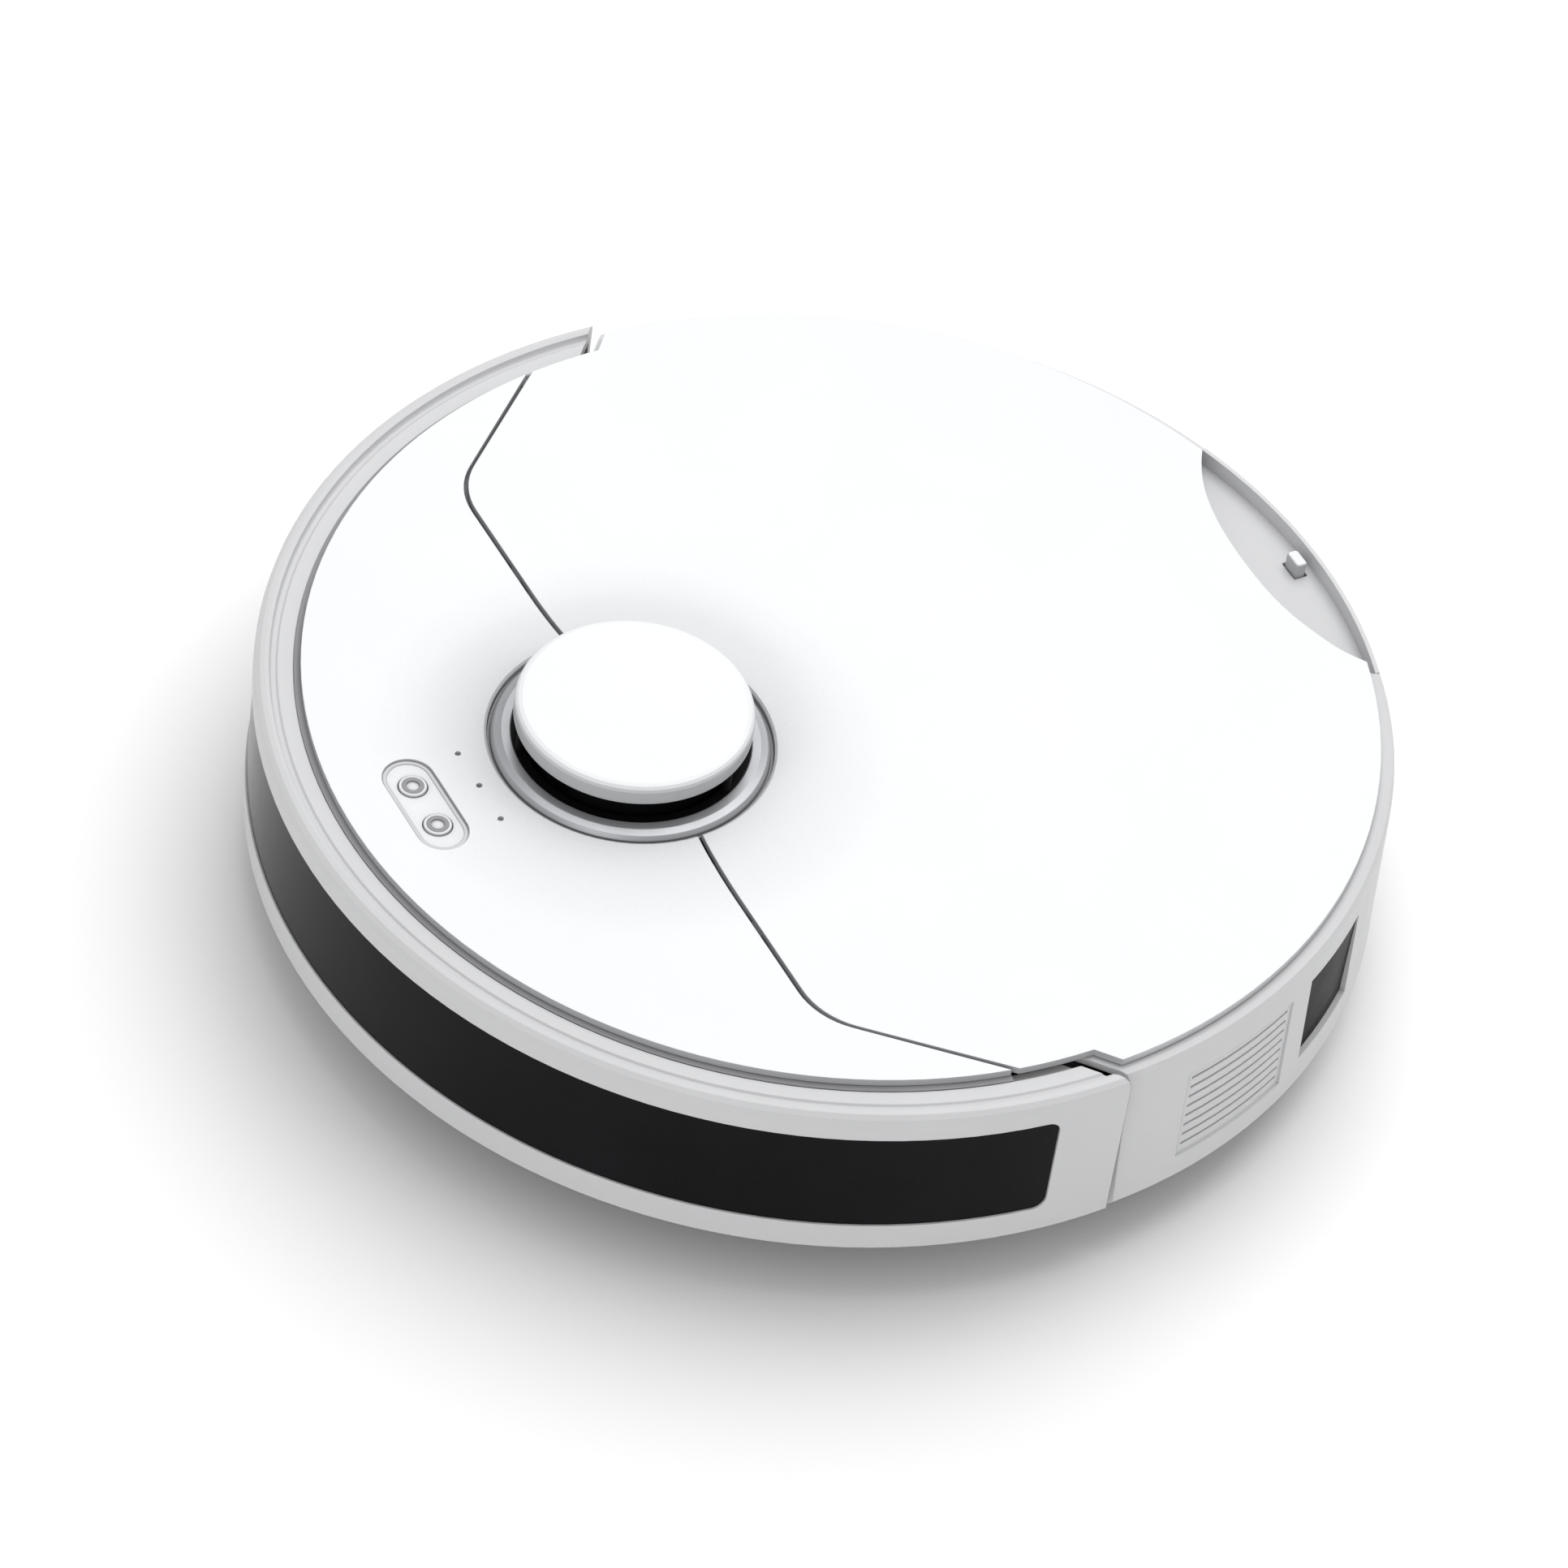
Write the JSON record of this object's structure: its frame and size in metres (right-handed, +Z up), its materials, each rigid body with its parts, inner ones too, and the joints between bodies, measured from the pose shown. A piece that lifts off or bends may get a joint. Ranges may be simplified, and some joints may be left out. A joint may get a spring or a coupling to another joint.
{
  "type": "robot vacuum",
  "caption": "Round floor-cleaning robot with a sprung front bumper, hinged lid, scanning turret, drive wheels, brushes and a dust bin.",
  "frame": {"origin": "floor plane, under the middle of the round body", "axes": "+Z up, -Y is the bumper side (front), +X is the robot's left"},
  "size_m": [0.35, 0.35, 0.098],
  "materials": {
    "white_gloss": "high gloss white",
    "light_grey": "satin light grey",
    "dark_window": "polished smoked black",
    "silver_grey": "satin silver grey",
    "black_plastic": "fine texture",
    "steel": "plain",
    "rubber": "matt",
    "bristle": "nylon bristle",
    "smoked_clear": "smoked",
    "filter_paper": "pleated",
    "blue_plastic": "satin",
    "board": "solder mask",
    "battery_wrap": "shrink wrap",
    "contact_plate": "nickel plated"
  },
  "bodies": {
    "chassis": {"battery": "battery_wrap", "battery_cover": "black_plastic", "blower_housing": "black_plastic", "brush_frame": "black_plastic", "brush_gearbox": "black_plastic", "brush_housing": "black_plastic", "bump_switches": "black_plastic", "bumper_springs": "steel", "cap_posts": "black_plastic", "caster_housing": "black_plastic", "charging_contacts": "contact_plate", "chassis_pan": "black_plastic", "cliff_windows": "dark_window", "collar_ring": "silver_grey", "dust_bin": "smoked_clear", "dust_bin_lid": "smoked_clear", "dust_filter": "filter_paper", "front_cover": "white_gloss", "hinge_pins": "steel", "inner_deck": "black_plastic", "main_board": "board", "pivot_pins": "steel", "rear_shell": "light_grey", "scan_base": "black_plastic", "scan_belt": "rubber", "scan_motor": "steel", "screws": "steel", "side_brush_motor": "black_plastic", "side_windows": "dark_window", "status_lights": "smoked_clear", "torsion_springs": "steel", "turret_cap": "white_gloss", "wheel_housings": "black_plastic"},
    "bumper": {"bumper_shell": "light_grey", "sensor_window": "dark_window"},
    "lid": {"lid": "white_gloss"},
    "latch": {"latch_button": "white_gloss"},
    "power_key": {"power_button": "white_gloss"},
    "home_key": {"home_button": "white_gloss"},
    "lever_left": {"bump_lever_left": "black_plastic"},
    "lever_right": {"bump_lever_right": "black_plastic"},
    "scan_head": {"scan_rotor": "dark_window", "scan_lenses": "smoked_clear", "scan_pulley": "blue_plastic"},
    "scan_drive": {"scan_motor_pulley": "blue_plastic"},
    "fan": {"impeller": "blue_plastic"},
    "arm_left": {"suspension_arm_left": "black_plastic"},
    "arm_right": {"suspension_arm_right": "black_plastic"},
    "wheel_left": {"wheel_rim_left": "silver_grey", "tyre_left": "rubber"},
    "wheel_right": {"wheel_rim_right": "silver_grey", "tyre_right": "rubber"},
    "caster_swivel": {"caster_fork": "black_plastic", "caster_axle": "steel"},
    "caster_roller": {"caster_wheel": "rubber"},
    "main_brush": {"brush_core": "blue_plastic", "brush_rubber_blades": "rubber", "brush_bristles": "bristle"},
    "edge_brush": {"side_brush": "blue_plastic", "side_bristles": "bristle"}
  },
  "joints": [
    {"name": "bumper_slide", "type": "slide", "parent": "chassis", "child": "bumper", "axis": [0, 1, 0], "range_m": [0, 0.003], "stiffness_N_per_m": 500, "springref_m": -0.003},
    {"name": "lever_left_turn", "type": "hinge", "parent": "chassis", "child": "lever_left", "pos_m": [0.076, -0.143, 0.053], "axis": [0, 0, 1], "range_deg": [0, 15]},
    {"name": "lever_right_turn", "type": "hinge", "parent": "chassis", "child": "lever_right", "pos_m": [-0.076, -0.143, 0.053], "axis": [0, 0, 1], "range_deg": [-15, 0]},
    {"name": "lid_hinge", "type": "hinge", "parent": "chassis", "child": "lid", "pos_m": [0, -0.079, 0.0758], "axis": [1, 0, 0], "range_deg": [0, 75]},
    {"name": "latch_press", "type": "slide", "parent": "chassis", "child": "latch", "axis": [0, 0, -1], "range_m": [0, 0.0015], "stiffness_N_per_m": 600, "springref_m": -0.001},
    {"name": "power_press", "type": "slide", "parent": "chassis", "child": "power_key", "axis": [0, 0, -1], "range_m": [0, 0.0006], "stiffness_N_per_m": 800, "springref_m": -0.0006},
    {"name": "home_press", "type": "slide", "parent": "chassis", "child": "home_key", "axis": [0, 0, -1], "range_m": [0, 0.0006], "stiffness_N_per_m": 800, "springref_m": -0.0006},
    {"name": "scan_spin", "type": "hinge", "parent": "chassis", "child": "scan_head", "pos_m": [0, -0.069, 0.075], "axis": [0, 0, 1], "continuous": true},
    {"name": "scan_drive_spin", "type": "hinge", "parent": "chassis", "child": "scan_drive", "pos_m": [0.0426, -0.0988, 0.065], "axis": [0, 0, 1], "continuous": true},
    {"name": "fan_spin", "type": "hinge", "parent": "chassis", "child": "fan", "pos_m": [0.093, 0.091, 0.04], "axis": [0, 0, 1], "continuous": true},
    {"name": "arm_left_drop", "type": "hinge", "parent": "chassis", "child": "arm_left", "pos_m": [0.096, 0.048, 0.042], "axis": [1, 0, 0], "range_deg": [0, 30], "stiffness_Nm_per_rad": 0.25, "springref_deg": 51.57},
    {"name": "wheel_left_spin", "type": "hinge", "parent": "arm_left", "child": "wheel_left", "pos_m": [0.115, 0.012, 0.033], "axis": [1, 0, 0], "continuous": true},
    {"name": "arm_right_drop", "type": "hinge", "parent": "chassis", "child": "arm_right", "pos_m": [-0.096, 0.048, 0.042], "axis": [1, 0, 0], "range_deg": [0, 30], "stiffness_Nm_per_rad": 0.25, "springref_deg": 51.57},
    {"name": "wheel_right_spin", "type": "hinge", "parent": "arm_right", "child": "wheel_right", "pos_m": [-0.115, 0.012, 0.033], "axis": [1, 0, 0], "continuous": true},
    {"name": "caster_turn", "type": "hinge", "parent": "chassis", "child": "caster_swivel", "pos_m": [0, -0.132, 0.02], "axis": [0, 0, 1], "continuous": true},
    {"name": "caster_roll", "type": "hinge", "parent": "caster_swivel", "child": "caster_roller", "pos_m": [0, -0.128, 0.012], "axis": [1, 0, 0], "continuous": true},
    {"name": "main_brush_spin", "type": "hinge", "parent": "chassis", "child": "main_brush", "pos_m": [0, -0.004, 0.0235], "axis": [1, 0, 0], "continuous": true},
    {"name": "edge_brush_spin", "type": "hinge", "parent": "chassis", "child": "edge_brush", "pos_m": [-0.096, -0.094, 0.007], "axis": [0, 0, 1], "continuous": true}
  ],
  "couplings": [
    {"joint": "lever_left_turn", "follows": "bumper_slide", "rad_per_m": 83.3},
    {"joint": "lever_right_turn", "follows": "bumper_slide", "rad_per_m": -83.3},
    {"joint": "scan_drive_spin", "follows": "scan_spin", "ratio": 6.952}
  ]
}
